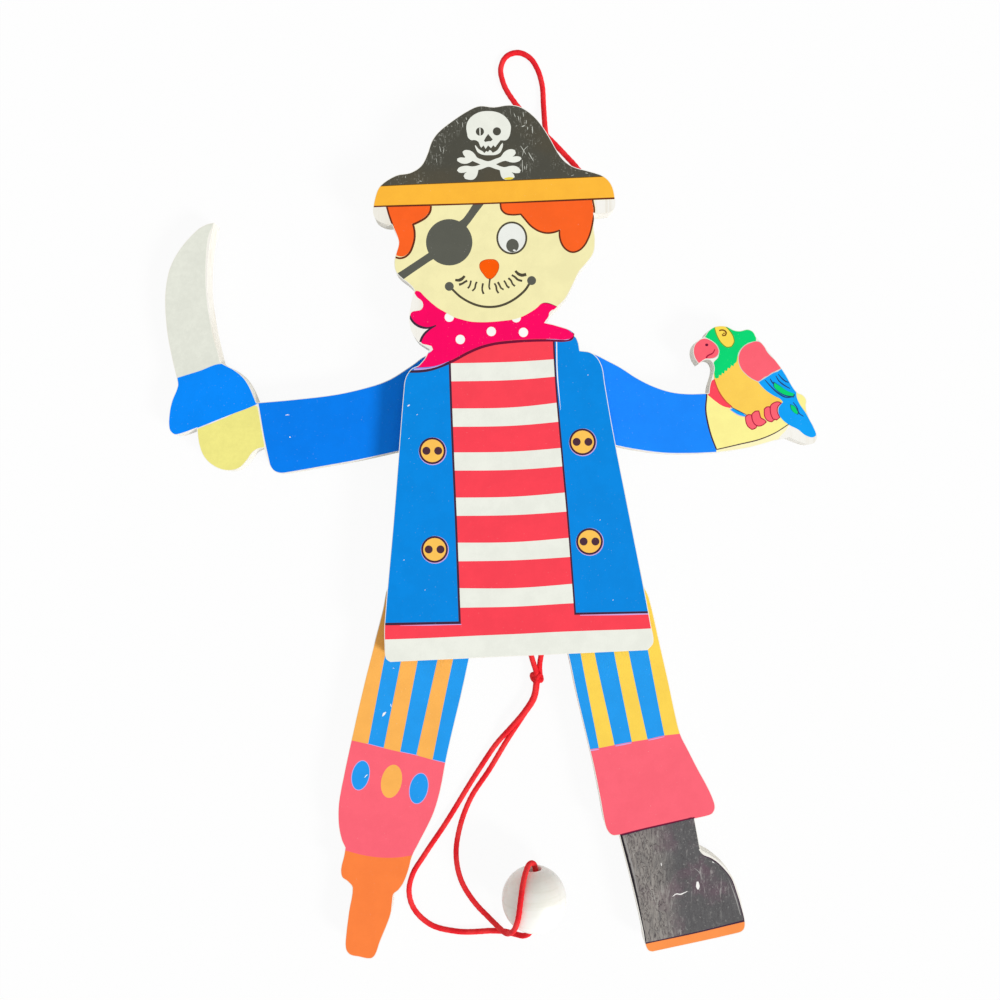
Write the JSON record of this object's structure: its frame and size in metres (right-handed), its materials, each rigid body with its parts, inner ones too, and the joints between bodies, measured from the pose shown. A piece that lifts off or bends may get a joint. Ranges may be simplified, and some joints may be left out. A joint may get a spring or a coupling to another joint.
{
  "type": "pull string jumping jack",
  "caption": "Flat wooden pirate jumping jack: printed body board with a hanging loop, two arms and two legs on screws, worked by a pull cord with a ball.",
  "frame": {"origin": "on the surface that the toy lies on, under the middle of the rectangle round its five boards", "axes": "+Y from the legs to the hat, +X to the right of the printed face, +Z out of the printed front"},
  "size_m": [0.2008, 0.2849, 0.0208],
  "materials": {
    "body_print": "screen-printed satin paint on a white-primed board",
    "sabre_print": "screen-printed satin paint on a white-primed board",
    "parrot_print": "screen-printed satin paint on a white-primed board",
    "peg_print": "screen-printed satin paint on a white-primed board",
    "boot_print": "screen-printed satin paint on a white-primed board",
    "steel": "zinc-plated",
    "bare_wood": "unpainted beech",
    "red_cord": "braided cord",
    "ball_paint": "satin white paint"
  },
  "bodies": {
    "root": {"body_board": "body_print", "sabre_arm_screw": "steel", "parrot_arm_screw": "steel", "peg_leg_screw": "steel", "boot_leg_screw": "steel", "sabre_arm_washer": "steel", "parrot_arm_washer": "steel", "peg_leg_washer": "steel", "boot_leg_washer": "steel", "sabre_arm_spacer": "bare_wood", "parrot_arm_spacer": "bare_wood", "peg_leg_spacer": "bare_wood", "boot_leg_spacer": "bare_wood", "loop_staple": "steel", "loop_knot": "red_cord", "hanging_loop": "red_cord"},
    "sabre_arm": {"sabre_arm": "sabre_print"},
    "parrot_arm": {"parrot_arm": "parrot_print"},
    "peg_leg": {"peg_leg": "peg_print"},
    "boot_leg": {"boot_leg": "boot_print"},
    "pull_cord": {"arm_cord": "red_cord", "leg_cord": "red_cord", "sabre_arm_stop_knot": "red_cord", "parrot_arm_stop_knot": "red_cord", "peg_leg_stop_knot": "red_cord", "boot_leg_stop_knot": "red_cord", "arm_hitch": "red_cord", "leg_hitch": "red_cord", "arm_tail": "red_cord", "leg_tail": "red_cord", "main_knot": "red_cord", "pull_loop": "red_cord", "pull_ball": "ball_paint"}
  },
  "joints": [
    {"name": "pull_slide", "type": "slide", "parent": "root", "child": "pull_cord", "axis": [0, -1, 0], "range_m": [-0.002, 0.011], "deforming": ["arm_cord", "leg_cord"]},
    {"name": "sabre_shoulder", "type": "hinge", "parent": "root", "child": "sabre_arm", "pos_m": [-0.01918, 0.04236, 0.00615], "axis": [0, 0, -1], "range_deg": [-10, 55]},
    {"name": "parrot_shoulder", "type": "hinge", "parent": "root", "child": "parrot_arm", "pos_m": [0.03022, 0.04236, 0.00615], "axis": [0, 0, 1], "range_deg": [-10, 55]},
    {"name": "peg_hip", "type": "hinge", "parent": "root", "child": "peg_leg", "pos_m": [-0.02258, -0.01794, 0.00615], "axis": [0, 0, -1], "range_deg": [-9, 49]},
    {"name": "boot_hip", "type": "hinge", "parent": "root", "child": "boot_leg", "pos_m": [0.03362, -0.01794, 0.00615], "axis": [0, 0, 1], "range_deg": [-9, 49]}
  ],
  "couplings": [
    {"joint": "sabre_shoulder", "follows": "pull_slide", "rad_per_m": 86.96},
    {"joint": "parrot_shoulder", "follows": "pull_slide", "rad_per_m": 86.96},
    {"joint": "peg_hip", "follows": "pull_slide", "rad_per_m": 76.92},
    {"joint": "boot_hip", "follows": "pull_slide", "rad_per_m": 76.92}
  ]
}
